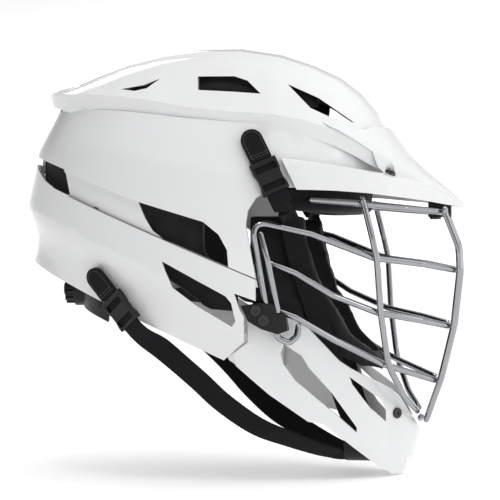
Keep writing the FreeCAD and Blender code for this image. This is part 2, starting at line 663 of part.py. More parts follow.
def make_cup():
    """The chin cup: a plastic arch with a soft pad inside."""
    def arch(outer, inner):
        start = CUP_CENTRE - V(cup_length / 2, 0, 0)
        ring = Part.makeCylinder(outer, cup_length, start, V(1, 0, 0))
        ring = ring.cut(Part.makeCylinder(inner, cup_length, start, V(1, 0, 0)))
        reach = 2 * outer
        angle = math.radians(cup_half_angle)
        corners = [CUP_CENTRE - V(cup_length, 0, 0), CUP_CENTRE + V(-cup_length, -reach * math.sin(angle),
                                                                   -reach * math.cos(angle)),
                   CUP_CENTRE + V(-cup_length, 0, -2 * reach),
                   CUP_CENTRE + V(-cup_length, reach * math.sin(angle), -reach * math.cos(angle))]
        wedge = Part.Face(Part.makePolygon(corners + corners[:1])).extrude(V(2 * cup_length, 0, 0))
        return ring.common(wedge)

    inner = cup_radius - cup_wall
    return arch(cup_radius, inner), arch(inner, inner - cup_pad_thickness)


def cup_edge(angle):
    """The way out, and the way up along the arch, at an angle from the cup's lowest line."""
    turn = math.radians(angle)
    return V(0, -math.sin(turn), -math.cos(turn)), V(0, -math.cos(turn), math.sin(turn))


def make_straps(upper_frame, lower_frame):
    middle = cup_radius - cup_wall / 2
    out, up = cup_edge(cup_half_angle)
    end = CUP_CENTRE + out * middle + up * seat_gap
    points = strap_start(upper_frame) + [point for point, facing in UPPER_ROUTE] + [end + up * 5, end]
    facing = [upper_frame.out] * 2 + [facing for point, facing in UPPER_ROUTE] + [out, out]
    upper = webbing(points, facing)
    out, up = cup_edge(lower_strap_angle)
    end = CUP_CENTRE + out * middle - V(cup_length / 2 + seat_gap, 0, 0)
    points = strap_start(lower_frame) + [point for point, facing in LOWER_ROUTE] + [end - V(5, 0, 0), end]
    facing = [lower_frame.out] * 2 + [facing for point, facing in LOWER_ROUTE] + [out, out]
    return upper, webbing(points, facing)


# Space for the head, as levels like the shell's
HEAD_LEVELS = [(80, 90, 56, 122, 0.0), (98, 101, 78, 78, 0.0), (104, 104, 85, 34, 0.1), (102, 100, 82, -60, 0.3)]
LINER_LEVELS = [CREASE_LEVEL, PANEL_LEVEL, BELT_LEVEL, (124.5, 134.0, 104.0, -12.0, 0.45), NECK_LEVEL]
REAR_PAD = [(-140, 8), (-66, -16), (-64, 86), (-140, 92)]
SIDE_PAD = [(-58, -10), (-34, -16), (-8, -25), (22, -46), (44, -48), (45, -20), (22, -2), (20, 84), (-58, 86)]
FRONT_PAD = [(62, 48), (160, 48), (160, 86), (62, 84)]
BROW_PAD = [(76, 28), (150, 28), (150, 48), (76, 48)]
JAW_PAD = [(48, 26), (88, 28), (92, 8), (101, -20), (112, -42), (122, -62), (140, -78), (146, -92), (130, -88),
           (113, -80), (90, -62), (74, -60), (56, -56), (48, -36)]
crown_pad_half = 30.0
crown_pad_edge = 64.0


def make_liner(clip):
    """Foam pads between the shell and the head."""
    head = wall_body(HEAD_LEVELS, 0, 0, 0, 1)
    seat = step_depth + shell_wall + seat_gap
    ring = wall_body(LINER_LEVELS, seat, 0, 4, 1).cut(head)
    side = ring.common(side_prism(SIDE_PAD, 0, 160))
    rear = ring.common(side_prism(REAR_PAD))
    upper_ring = wall_body(LINER_LEVELS[:3], shell_wall + seat_gap, 0, 0, 2).cut(head)
    front = upper_ring.common(side_prism(FRONT_PAD))
    brow = wall_body([BROW_LEVEL, PANEL_LEVEL, BELT_LEVEL], brow_pad_inset, 0, 0, 1).cut(head)
    brow = brow.common(side_prism(BROW_PAD))
    arches = CROWN_ARCHES[2:13:2]
    crown = crown_body(arches, shell_wall + seat_gap, 0)
    crown = crown.cut(crown_body(arches, shell_wall + liner_thickness, 12))
    middle = crown.common(box_between(V(-70, -crown_pad_half, 90), V(98, crown_pad_half, 160)))
    flank = crown.common(box_between(V(-70, crown_pad_half + 4, 104), V(98, crown_pad_edge, 160)))
    jaw = make_jaw_pad(clip)
    return {"liner_side_left": side, "liner_side_right": mirrored(side), "liner_rear": rear, "liner_front": front,
            "brow_pad": brow, "liner_crown": middle, "liner_crown_flanks": both_sides(largest(flank)),
            "jaw_pad_left": jaw, "jaw_pad_right": mirrored(jaw)}


def make_jaw_pad(clip):
    """A cheek pad along the inner face of the chin guard, grooved for the webbing."""
    def body(inset):
        wires = [chin_wire(CHIN_TOP, CHIN_TIPS[0], 105, inset + 1), chin_wire(CHIN_TOP, CHIN_TIPS[0], 31.5, inset),
                 chin_wire(CHIN_NOSE, CHIN_TIPS[1], -5, inset)]
        return Part.makeLoft(wires, True, True)

    outer = chin_wall + seat_gap
    pad = body(outer).cut(body(outer + jaw_pad_thickness)).common(side_prism(JAW_PAD, 0, 160))
    points = [point for point, facing in UPPER_ROUTE[1:8]]
    facing = [facing for point, facing in UPPER_ROUTE[1:8]]
    groove = mirrored(webbing(points, facing, strap_width + 3, strap_thickness + 5))
    return largest(pad.cut([groove, mirrored(clip)]))


# Nape cradle, its dial and the bands that tie it to the shell
CRADLE_TOP = (92, 92, 68, -52.8, 0.40)
CRADLE_BOTTOM = (90, 90, 65, -78.8, 0.40)
CRADLE_SIDE = [(-120, 30), (-62, 30), (-59, -30), (-62, -60), (-120, -60)]
DIAL_CENTRE = V(-97.5, 0, -30)
BAND_ROUTE = [V(-68.6, -48.5, -39), V(-60.6, -54.0, -39), V(-50, -63, -38.5), V(-38, -77, -38), V(-26, -91, -36.5),
              V(-12, -94.5, -37.5)]


def make_fit_system():
    levels = [CRADLE_TOP, CRADLE_BOTTOM]
    outer = wall_body(levels, 0, 0, 0, 1)
    side = side_prism(CRADLE_SIDE)
    inner = wall_body(levels, cradle_wall, 2, 2, 1)
    cradle = outer.cut(inner).common(side)
    pad_body = wall_body(levels, cradle_wall + seat_gap, 0, 0, 1)
    pad_room = wall_body(levels, cradle_wall + cradle_pad_thickness, 2, 2, 1)
    pad = pad_body.cut(pad_room).common(side_prism([(-120, 30), (-70, 30), (-70, -60), (-120, -60)]))
    rearward = V(-1, 0, 0)
    boss = largest(Part.makeCylinder(housing_radius, 12, DIAL_CENTRE + V(12, 0, 0), rearward).cut(outer))
    axle = Part.makeCylinder(axle_radius, dial_thickness + 2 * slip + 4, DIAL_CENTRE + V(4, 0, 0), rearward)
    boss = boss.cut(axle)
    dial_start = DIAL_CENTRE + rearward * slip
    dial = Part.makeCylinder(dial_radius, dial_thickness, dial_start, rearward)
    grips = []
    for k in range(dial_grips):
        turn = 2 * math.pi * k / dial_grips
        place = dial_start + V(0, dial_radius * math.cos(turn), dial_radius * math.sin(turn))
        grips.append(Part.makeCylinder(grip_radius, dial_thickness, place, rearward))
    dial = dial.cut(grips + [Part.makeCylinder(axle_radius + axle_clearance, dial_thickness, dial_start, rearward)])
    cap_seat = DIAL_CENTRE + rearward * (dial_thickness + 2 * slip)
    cap = Part.makeCylinder(screw_head_radius + 1, screw_head_height, cap_seat, rearward)
    cap = cap.cut(Part.makeCylinder(socket_radius, socket_depth,
                                    cap_seat + rearward * (screw_head_height - socket_depth), rearward))
    cradle_room = wall_body(levels, -seat_gap / 2, 0, 0, 1).cut(wall_body(levels, cradle_wall + seat_gap / 2, 2, 2, 1))
    band = webbing(BAND_ROUTE, level_facing(BAND_ROUTE), band_width, band_thickness)
    band = largest(band.cut(cradle_room))
    return {"fit_cradle": cradle, "cradle_pad": pad, "dial_housing": boss, "fit_dial": dial, "dial_axle": axle,
            "dial_screw": cap, "fit_band_right": band, "fit_band_left": mirrored(band)}


def level_facing(points):
    """The level way out at each point of a band."""
    last = len(points) - 1
    return [(points[min(k + 1, last)] - points[max(k - 1, 0)]).cross(V(0, 0, 1)) for k in range(last + 1)]


# The assembly
upper_shell, upper_outer = make_upper_shell()
lower_shell, neck_outer = make_lower_shell()
visor = make_visor(upper_outer)
chin_guard = make_chin_guard(neck_outer)
parts = make_cage()
wires = list(parts.values())
upper_frame = TabFrame(upper_outer, (49, 85), (0.447, -0.894), upper_tab_lift, 28)
lower_frame = TabFrame(lower_shell, (-63, -13), (0.63, -0.777), lower_tab_lift, 34)
side_clip = make_side_clip([mirrored(wire) for wire in wires], [mirrored(lower_shell), mirrored(chin_guard)])
parts["side_clip_right"] = side_clip
parts["side_clip_left"] = mirrored(side_clip)
parts["brow_clips"] = both_sides(make_brow_clip(wires, [visor]))
parts["chin_clips"] = both_sides(make_chin_clip(wires, [chin_guard]))
cup, cup_pad = make_cup()
upper_strap, lower_strap = make_straps(upper_frame, lower_frame)
for place, frame, strap in (("upper", upper_frame, upper_strap), ("lower", lower_frame, lower_strap)):
    for side, turn in (("right", lambda shape: shape), ("left", mirrored)):
        parts[place + "_tab_" + side] = turn(make_tab(frame))
        parts[place + "_stud_" + side] = turn(make_stud(frame))
        parts[place + "_glide_" + side] = turn(make_glide(frame))
        parts[place + "_strap_" + side] = turn(strap)
parts["chin_cup"] = cup
parts["chin_cup_pad"] = cup_pad
parts.update(make_liner(side_clip))
parts.update(make_fit_system())
upper_shell = upper_shell.cut([parts["upper_stud_right"], parts["upper_stud_left"]])
lower_shell = lower_shell.cut([parts["lower_stud_right"], parts["lower_stud_left"]])

# Screws
visor_screw = fasten(visor, V(165, -70, 100), V(0.30, -0.42, 0.86), 6, 0.5)
visor = take_screw(visor, visor_screw)
upper_shell = take_screw(upper_shell, visor_screw, False)
nose_screw = fasten(chin_guard, V(185, -55, -122), V(0.70, -0.71, 0), 5, 0.6)
chin_guard = take_screw(chin_guard, nose_screw)
joint_screws = []
for x in (-62.0, 50.0):
    z = seam_z(x) - 0.55 * TUCK
    fitting = fasten(upper_shell, V(x, 0, z), V(0, 1, 0), shell_wall + lower_wall - 0.6)
    upper_shell = take_screw(upper_shell, fitting)
    lower_shell = take_screw(lower_shell, fitting, False)
    joint_screws += [fitting[0], mirrored(fitting[0])]
clip_screws = []
for x, z in SIDE_CLIP_SCREWS:
    fitting = fasten(parts["side_clip_right"], V(x, -160, z), V(0, -1, 0), screw_length, 0.8)
    parts["side_clip_right"] = take_screw(parts["side_clip_right"], fitting)
    clip_screws += [fitting[0], mirrored(fitting[0])]
parts["side_clip_left"] = mirrored(parts["side_clip_right"])
brow_screw = fasten(parts["brow_clips"], V(181, -8, 0), V(0, 0, -1))
parts["brow_clips"] = take_screw(parts["brow_clips"], brow_screw, False)
parts["visor_screws"] = both_sides(visor_screw[0])
parts["nose_screws"] = both_sides(nose_screw[0])
parts["shell_screws"] = Part.makeCompound(joint_screws)
parts["clip_screws"] = Part.makeCompound(clip_screws)
parts["brow_clip_screws"] = both_sides(brow_screw[0])

os.makedirs("parts", exist_ok=True)
save("upper_shell", upper_shell)
save("lower_shell", lower_shell)
save("visor", visor)
save("chin_guard", chin_guard)
for name, shape in parts.items():
    save(name, shape)
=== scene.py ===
import math
import bmesh
import bpy
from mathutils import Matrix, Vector


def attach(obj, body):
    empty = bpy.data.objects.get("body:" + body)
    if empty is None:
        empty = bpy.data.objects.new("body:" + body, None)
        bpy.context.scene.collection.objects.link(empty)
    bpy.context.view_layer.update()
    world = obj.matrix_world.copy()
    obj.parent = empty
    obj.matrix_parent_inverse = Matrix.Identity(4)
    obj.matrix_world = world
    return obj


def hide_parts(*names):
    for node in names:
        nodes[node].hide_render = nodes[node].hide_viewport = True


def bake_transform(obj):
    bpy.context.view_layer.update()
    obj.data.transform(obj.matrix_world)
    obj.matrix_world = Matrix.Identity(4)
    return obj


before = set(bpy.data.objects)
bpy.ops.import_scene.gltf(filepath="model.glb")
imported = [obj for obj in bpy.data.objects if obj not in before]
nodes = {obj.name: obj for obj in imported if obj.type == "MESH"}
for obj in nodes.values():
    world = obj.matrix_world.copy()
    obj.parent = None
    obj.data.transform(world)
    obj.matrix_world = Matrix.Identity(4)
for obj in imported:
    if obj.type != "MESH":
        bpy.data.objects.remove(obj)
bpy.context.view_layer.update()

# Shells: the crown shell, the nape and jaw shell, the peak and the chin guard. The real ones are
# glossy white polycarbonate, moulded in four pieces with small rounded edges, screwed together.


class Value:
    """A socket of a material that Python sums and products work on."""

    def __init__(self, paint, socket):
        self.paint = paint
        self.socket = socket

    def maths(self, operation, *values):
        return self.paint.node("Math", {"operation": operation}, dict(enumerate(values)))

    def __add__(self, other):
        return self.maths("ADD", self, other)

    def __sub__(self, other):
        return self.maths("SUBTRACT", self, other)

    def __rsub__(self, other):
        return self.maths("SUBTRACT", other, self)

    def __mul__(self, other):
        return self.maths("MULTIPLY", self, other)

    def sine(self):
        return self.maths("SINE", self)

    def size(self):
        return self.maths("ABSOLUTE", self)

    def above(self, least):
        return self.maths("GREATER_THAN", self, least)

    def at_least(self, least):
        return self.maths("MAXIMUM", self, least)

    __radd__ = __add__
    __rmul__ = __mul__


class Nodes:
    """The nodes of a material or of the studio's light."""

    def __init__(self, tree):
        self.tree = tree

    def node(self, kind, settings, sockets, out=0):
        made = self.tree.nodes.new("ShaderNode" + kind)
        for name, setting in settings.items():
            setattr(made, name, setting)
        for key, value in sockets.items():
            if isinstance(value, Value):
                self.tree.links.new(value.socket, made.inputs[key])
            else:
                made.inputs[key].default_value = value
        return Value(self, made.outputs[out])

    def parts(self, vector):
        """The X, Y and Z of a vector."""
        split = self.node("SeparateXYZ", {}, {0: vector})
        return [Value(self, output) for output in split.socket.node.outputs]


class Paint(Nodes):
    """One material; settings are the sockets that stay the same all over it."""

    def __init__(self, name, **settings):
        self.slot = name
        self.material = bpy.data.materials.new(name + "_finish")
        self.material.use_nodes = True
        super().__init__(self.material.node_tree)
        self.shader = self.tree.nodes["Principled BSDF"]
        for socket, value in settings.items():
            self.shader.inputs[socket.replace("_", " ")].default_value = value

    def place(self, out="Object"):
        return self.node("TexCoord", {}, {}, out)

    def grain(self, scale, detail=2.0, rough=0.5):
        """Cloudy noise from 0 to 1, with about scale blotches in a metre."""
        return self.node("TexNoise", {}, {"Vector": self.place(), "Scale": scale, "Detail": detail,
                                          "Roughness": rough})

    def between(self, share, low, high):
        return self.node("Mix", {"data_type": "RGBA"}, {0: share, 6: low + (1,), 7: high + (1,)}, 2)

    def set(self, socket, value):
        self.tree.links.new(value.socket, self.shader.inputs[socket])

    def colour(self, share, low, high):
        self.set("Base Color", self.between(share, low, high))

    def raise_surface(self, height, depth, strength):
        bump = self.node("Bump", {}, {"Strength": strength, "Distance": depth, "Height": height})
        self.set("Normal", bump)


shell_white = Paint("shell_white", Coat_Weight=0.35, Coat_Roughness=0.06, IOR=1.5)
gloss = shell_white.between(shell_white.grain(7.0, 3.0), (0.77, 0.775, 0.785), (0.83, 0.835, 0.84))
# Painted shade: a dark line darkens the white along the joint between the crown shell and the lower shell,
# which follows one sloping plane.
joint_slope = 0.43
joint_height = 0.0036
joint_rear = -0.084
joint_front = 0.0645
shade_fade = 1300.0
shade_share = 0.9
shade_colour = (0.06, 0.06, 0.06, 1)
spot = shell_white.parts(shell_white.place())
off_joint = (spot[2] + spot[0] * joint_slope - joint_height).size()
on_joint = spot[0].above(joint_rear) * (1.0 - spot[0].above(joint_front))
# The painted shade of the seam: near-black mixed into the white within about 0.8 mm of the joint plane.
seam_shade = (1.0 - off_joint * shade_fade).at_least(0.0) * on_joint * shade_share
seam_shaded = shell_white.node("Mix", {"data_type": "RGBA"}, {0: seam_shade, 6: gloss, 7: shade_colour}, 2)
shell_white.set("Base Color", seam_shaded)
shell_white.set("Roughness", shell_white.grain(40.0, 4.0) * 0.07 + 0.15)
shell_white.raise_surface(shell_white.grain(160.0, 1.0), 0.00006, 0.5)


def wear(obj, paint):
    """Gives the piece one material all over."""
    obj.data.materials.clear()
    obj.data.materials.append(paint.material)


def new_piece(name, mesh, body):
    """An object for a mesh; with a body it rides on that body at once."""
    obj = bpy.data.objects.new(name, mesh)
    bpy.context.scene.collection.objects.link(obj)
    if body:
        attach(obj, body)
    return obj


def merged_copy(name, node):
    """The node's mesh in one skin, ready for smooth shading."""
    mesh = nodes[node].data.copy()
    mesh.name = name
    form = bmesh.new()
    form.from_mesh(mesh)
    bmesh.ops.remove_doubles(form, verts=form.verts, dist=2e-6)
    form.to_mesh(mesh)
    form.free()
    normals = mesh.attributes.get("custom_normal")
    if normals:
        mesh.attributes.remove(normals)
    return mesh


def moulded(name, node, body, paint, edge):
    """A rigid moulding: the node's form with its edges rounded off."""
    sharp = math.radians(38)
    mesh = merged_copy(name, node)
    mesh.shade_smooth()
    mesh.set_sharp_from_angle(angle=sharp)
    obj = new_piece(name, mesh, body)
    bevel = obj.modifiers.new("rounded edges", "BEVEL")
    bevel.width = edge
    bevel.segments = 2
    bevel.limit_method = "ANGLE"
    bevel.angle_limit = sharp
    bevel.use_clamp_overlap = True
    bevel.harden_normals = False
    wear(obj, paint)
    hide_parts(node)
    return obj


for node in ("upper_shell", "lower_shell", "visor", "chin_guard"):
    moulded(node + "_moulding", node, "helmet", shell_white, 0.0006)

# Face guard: polished round steel wire, bent cold over formers and welded where the uprights
# cross the bars, with a small bead in each crossing. The whole guard is chrome plated.
wire_chrome = Paint("wire_chrome", Metallic=1.0)
wire_chrome.colour(wire_chrome.grain(60.0), (0.30, 0.305, 0.32), (0.40, 0.405, 0.42))
wire_chrome.set("Roughness", wire_chrome.grain(300.0, 3.0) * 0.05 + 0.03)
wire_chrome.raise_surface(wire_chrome.grain(700.0, 2.0), 0.00005, 0.4)
wire_radius = 0.0024
bar_bend = 0.016
ear_bend = 0.009
upright_bend = 0.03
loop_bend = 0.006


def mm(*points):
    """Points given in millimetres."""
    return [Vector(point) / 1000 for point in points]


def mirrored(points):
    """The same points or directions on the helmet's other side."""
    return [Vector((p.x, -p.y, p.z)) for p in points]


def ear_to_ear(*points):
    """The corners of a wire that runs right round the face, from those of its right half."""
    half = mm(*points)
    return half + mirrored(half)[::-1]


def rounded(points, bend, steps=9):
    """The wire's centre line: straight runs with every corner bent round."""
    path = [points[0]]
    for before, corner, after in zip(points, points[1:], points[2:]):
        back, ahead = before - corner, after - corner
        turn = math.pi - back.angle(ahead)
        reach = min(bend * math.tan(turn / 2), 0.45 * back.length, 0.45 * ahead.length)
        first, last = corner + back.normalized() * reach, corner + ahead.normalized() * reach
        for k in range(steps + 1):
            t = k / steps
            path.append(first * (1 - t) ** 2 + corner * (2 * t * (1 - t)) + last * t ** 2)
    return path + [points[-1]]


def tube(form, path, radius, sides=14):
    """Adds a round wire with domed ends to a bmesh."""
    start, end = (path[1] - path[0]).normalized(), (path[-1] - path[-2]).normalized()
    dome = (0.35, 0.8, 1.2)
    stations = [(path[0] + start * radius * (1 - math.cos(a)), radius * math.sin(a), start) for a in dome]
    for before, point, after in zip(path, path[1:], path[2:]):
        stations.append((point, radius, (after - before).normalized()))
    stations += [(path[-1] - end * radius * (1 - math.cos(a)), radius * math.sin(a), end) for a in dome[::-1]]
    normal = stations[0][2].orthogonal().normalized()
    rings = []
    for centre, size, along in stations:
        normal = (normal - along * normal.dot(along)).normalized()
        side = along.cross(normal)
        rings.append([form.verts.new(centre + (normal * math.cos(a) + side * math.sin(a)) * size)
                      for a in (2 * math.pi * j / sides for j in range(sides))])
    for one, two in zip(rings, rings[1:]):
        for j in range(sides):
            form.faces.new((one[j], one[(j + 1) % sides], two[(j + 1) % sides], two[j]))
    form.faces.new(rings[0][::-1])
    form.faces.new(rings[-1])


def wire(name, node, lines, bend):
    """The wires of one node, each along its own line of corners with one bend radius."""
    form = bmesh.new()
    for line in lines:
        tube(form, rounded(line, bend), wire_radius)
    bmesh.ops.recalc_face_normals(form, faces=form.faces)
    mesh = bpy.data.meshes.new(name)
    form.to_mesh(mesh)
    form.free()
    mesh.shade_smooth()
    obj = new_piece(name, mesh, "helmet")
    wear(obj, wire_chrome)
    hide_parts(node)
    return obj


cheek = mm((129.7, -64.8, 39), (131.6, -64.6, 34), (138, -65.5, 8), (141.1, -64.7, -6), (143.6, -60.1, -46),
           (148.7, -53.9, -84.5), (159, -30, -109), (168.8, -12.2, -122.1))
front = mm((189.3, -24.9, 32.5), (188.7, -23.6, 28.5), (199, -24.5, 2), (199.8, -24, -15), (195.2, -21, -57),
           (185.2, -17.5, -98), (178, -13, -118), (173.9, -6.2, -130))
rear = mm((59.6, -96, 13.5), (65, -94.8, -8), (72.5, -91.5, -46))
loop = mm((86, -83.2, -53), (85, -84, -62), (79, -85.5, -67.5), (71, -87, -63), (69.5, -88, -52))
brow_crossings = mm((129.5, -60.5, 34), (186.5, -22, 28.5))
eye_crossings = mm((139, -60.5, -6), (196.5, -21.5, -15))
nose_crossings = mm((141.5, -56, -46), (192.5, -19, -57))
mouth_crossings = mm((146, -48.5, -84.5), (182.5, -15.5, -98))
wire("guard_brow_bar", "cage_brow_bar",
     [ear_to_ear((92, -76.5, 36.5), (129.5, -60.5, 34), (160, -44, 31), (186.5, -22, 28.5))], bar_bend)
wire("guard_eye_bar", "cage_eye_bar",
     [ear_to_ear((65, -93, -47), (53.5, -97.5, 21), (95, -84, 11.5), (139, -60.5, -6), (174, -42, -10.5),
                 (196.5, -21.5, -15))], ear_bend)
wire("guard_nose_bar", "cage_nose_bar",
     [ear_to_ear((64, -90.2, -8.5), (84, -87, -16.5), (110, -75.5, -33), (141.5, -56, -46), (172, -38.5, -52),
                 (192.5, -19, -57))], bar_bend)
wire("guard_mouth_bar", "cage_mouth_bar",
     [ear_to_ear((70, -87, -43), (84, -84.5, -48.5), (111, -70.5, -65.5), (146, -48.5, -84.5),
                 (182.5, -15.5, -98))], bar_bend)
wire("guard_chin_bar", "cage_chin_bar", [ear_to_ear((170.2, -13.5, -126.5))], bar_bend)
wire("guard_cheek_uprights", "cage_cheek_uprights", [cheek, mirrored(cheek)], upright_bend)
wire("guard_front_uprights", "cage_front_uprights", [front, mirrored(front)], upright_bend)
wire("guard_rear_uprights", "cage_rear_uprights", [rear, mirrored(rear)], bar_bend)
wire("guard_jaw_loops", "cage_jaw_loops", [loop, mirrored(loop)], loop_bend)

# Weld beads: a small lump of steel on each crossing of an upright and a bar, plated with the guard.
# Like the screws and stitches further on, they are set out by a Geometry Nodes tree, from points
# that carry the way they face.


class Tree:
    """A Geometry Nodes tree with named inputs."""

    def __init__(self, name):
        self.group = bpy.data.node_groups.new(name, "GeometryNodeTree")
        self.group.interface.new_socket("Points", in_out="INPUT", socket_type="NodeSocketGeometry")
        self.group.interface.new_socket("Made", in_out="OUTPUT", socket_type="NodeSocketGeometry")
        self.inputs = None

    def sizes(self, *names):
        for name in names:
            self.group.interface.new_socket(name, in_out="INPUT", socket_type="NodeSocketFloat")
        self.inputs = self.group.nodes.new("NodeGroupInput").outputs

    def node(self, kind, settings, sockets, out=0):
        made = self.group.nodes.new(kind)
        for name, setting in settings.items():
            setattr(made, name, setting)
        for key, value in sockets.items():
            if isinstance(value, bpy.types.NodeSocket):
                self.group.links.new(value, made.inputs[key])
            else:
                made.inputs[key].default_value = value
        return made.outputs[out]

    def times(self, one, two):
        return self.node("ShaderNodeMath", {"operation": "MULTIPLY"}, {0: one, 1: two})

    def cylinder(self, sides, radius, depth):
        return self.node("GeometryNodeMeshCylinder", {},
                         {"Vertices": sides, "Radius": radius, "Depth": depth})

    def lifted(self, shape, height):
        """The shape moved along its own axis."""
        shift = self.node("ShaderNodeCombineXYZ", {}, {"Z": height})
        return self.node("GeometryNodeTransform", {}, {"Geometry": shape, "Translation": shift})

    def set_out(self, shape, paint):
        """Puts the shape on every point, its own axis along the point's facing, and paints it."""
        facing = self.node("GeometryNodeInputNamedAttribute", {"data_type": "FLOAT_VECTOR"},
                           {"Name": "facing"})
        turn = self.node("FunctionNodeAlignRotationToVector", {"axis": "Z"}, {"Vector": facing})
        spread = self.node("GeometryNodeInstanceOnPoints", {},
                           {"Points": self.inputs["Points"], "Instance": shape, "Rotation": turn})
        real = self.node("GeometryNodeRealizeInstances", {}, {"Geometry": spread})
        painted = self.node("GeometryNodeSetMaterial", {}, {"Geometry": real, "Material": paint.material})
        self.group.links.new(painted, self.group.nodes.new("NodeGroupOutput").inputs[0])


def set_out(name, tree, places, body, **sizes):
    """Runs a tree on (point, facing) places and keeps its result as one plain piece."""
    mesh = bpy.data.meshes.new(name + "_points")
    mesh.from_pydata([point for point, facing in places], [], [])
    facing = mesh.attributes.new("facing", "FLOAT_VECTOR", "POINT")
    facing.data.foreach_set("vector", [c for point, way in places for c in way])
    obj = new_piece(name, mesh, None)
    runner = obj.modifiers.new("set out", "NODES")
    runner.node_group = tree.group
    for item in tree.group.interface.items_tree:
        if item.in_out == "INPUT" and item.name in sizes:
            runner[item.identifier] = sizes[item.name]
    made = bpy.data.meshes.new_from_object(obj.evaluated_get(bpy.context.evaluated_depsgraph_get()))
    made.name = name
    obj.modifiers.clear()
    obj.data = made
    made.shade_smooth()
    made.set_sharp_from_angle(angle=math.radians(40))
    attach(obj, body)
    return obj


bead_tree = Tree("weld_beads")
bead_tree.sizes("Radius", "Flatness")
bead = bead_tree.node("GeometryNodeMeshUVSphere", {},
                      {"Segments": 12, "Rings": 8, "Radius": bead_tree.inputs["Radius"]})
squeeze = bead_tree.node("ShaderNodeCombineXYZ", {}, {"X": 1.0, "Y": 1.0, "Z": bead_tree.inputs["Flatness"]})
bead = bead_tree.node("GeometryNodeTransform", {}, {"Geometry": bead, "Scale": squeeze})
bead_tree.set_out(bead, wire_chrome)
cheek_out, front_out = Vector((0.45, -0.893, 0)).normalized(), Vector((0.8, -0.6, 0))
welds = []
for crossing in (brow_crossings, eye_crossings, nose_crossings, mouth_crossings):
    for point, way in zip(crossing, (cheek_out, front_out)):
        weld = (point + way * wire_radius, way)
        welds += [weld, tuple(mirrored(weld))]
beads = set_out("guard_weld_beads", bead_tree, welds, "helmet", Radius=0.0026, Flatness=0.6)

# Clips: black nylon blocks that hold the face guard in the front lower vents, under the peak
# and at the chin, moulded and screwed on.
plastic_black = Paint("plastic_black", IOR=1.42, Specular_IOR_Level=0.3)
plastic_black.colour(plastic_black.grain(90.0), (0.007, 0.007, 0.008), (0.018, 0.018, 0.020))
plastic_black.set("Roughness", plastic_black.grain(500.0, 3.0) * 0.2 + 0.3)
plastic_black.raise_surface(plastic_black.grain(2600.0, 2.0), 0.00005, 0.6)
for node in ("side_clip_right", "side_clip_left", "brow_clips", "chin_clips"):
    moulded(node + "_moulding", node, "helmet", plastic_black, 0.0005)

# Screws: black oxide pan heads with a six-sided socket, driven into the clips, the peak, the
# shell seam and the chin guard.
screw_black = Paint("screw_black", Metallic=0.7)
screw_black.colour(screw_black.grain(200.0), (0.03, 0.03, 0.032), (0.07, 0.07, 0.075))
screw_black.set("Roughness", screw_black.grain(900.0) * 0.2 + 0.28)
screw_tree = Tree("pan_head_screws")
screw_tree.sizes("Head radius", "Head height", "Socket radius", "Socket depth", "Shank radius", "Length")
size = screw_tree.inputs
head = screw_tree.cylinder(28, size["Head radius"], size["Head height"])
head = screw_tree.lifted(head, screw_tree.times(size["Head height"], 0.5))
socket = screw_tree.cylinder(6, size["Socket radius"], screw_tree.times(size["Socket depth"], 2.0))
socket = screw_tree.lifted(socket, size["Head height"])
socketed = screw_tree.node("GeometryNodeMeshBoolean", {"operation": "DIFFERENCE", "solver": "EXACT"},
                           {"Mesh 1": head, "Mesh 2": socket})
shank = screw_tree.cylinder(12, size["Shank radius"], size["Length"])
shank = screw_tree.lifted(shank, screw_tree.times(size["Length"], -0.5))
both = screw_tree.group.nodes.new("GeometryNodeJoinGeometry")
screw_tree.group.links.new(socketed, both.inputs[0])
screw_tree.group.links.new(shank, both.inputs[0])
screw_tree.set_out(both.outputs[0], screw_black)
screw_sizes = {"Head radius": 0.004, "Head height": 0.0016, "Socket radius": 0.0017, "Socket depth": 0.0009,
               "Shank radius": 0.0019}


def screws(name, node, places, length):
    """Screws on both sides, from the right side's seats in millimetres and the ways that the heads face."""
    everywhere = []
    for point, way in places:
        point, way = Vector(point) / 1000, Vector(way).normalized()
        everywhere += [(point, way), tuple(mirrored([point, way]))]
    obj = set_out(name, screw_tree, everywhere, "helmet", Length=length, **screw_sizes)
    bevel = obj.modifiers.new("rounded edges", "BEVEL")
    bevel.width = 0.0003
    bevel.segments = 2
    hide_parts(node)


screws("peak_screws", "visor_screws", [((149.61, -48.45, 55.88), (0.2991, -0.4187, 0.8574))], 0.006)
screws("chin_guard_screws", "nose_screws", [((152.97, -22.52, -122.0), (0.7021, -0.7121, 0))], 0.005)
screws("seam_screws", "shell_screws",
       [((-62, -92.4, 27.36), (0, -1, 0)), ((50, -99.72, -20.8), (0, -1, 0))], 0.0048)
screws("side_clip_screws", "clip_screws",
       [((56.5, -96.58, -43.5), (0, -1, 0)), ((62, -96.0, -50.5), (0, -1, 0))], 0.008)
screws("peak_clip_screws", "brow_clip_screws", [((181, -8, 25), (0, 0, -1))], 0.008)

# Liner: closed-cell foam cushions pressed to shape, glued inside the crown, the sides, the nape,
# the brow and the jaw, with sewn channels where they fold round the head.
foam_black = Paint("foam_black", IOR=1.35, Specular_IOR_Level=0.25, Sheen_Weight=0.06, Sheen_Roughness=0.5)
foam_black.colour(foam_black.grain(70.0, 3.0), (0.007, 0.007, 0.008), (0.018, 0.018, 0.020))
foam_black.set("Roughness", foam_black.grain(150.0) * 0.2 + 0.62)
foam_black.raise_surface(foam_black.grain(1400.0, 3.0, rough=0.65), 0.00016, 0.7)
puff_frames = 20
cushions = []


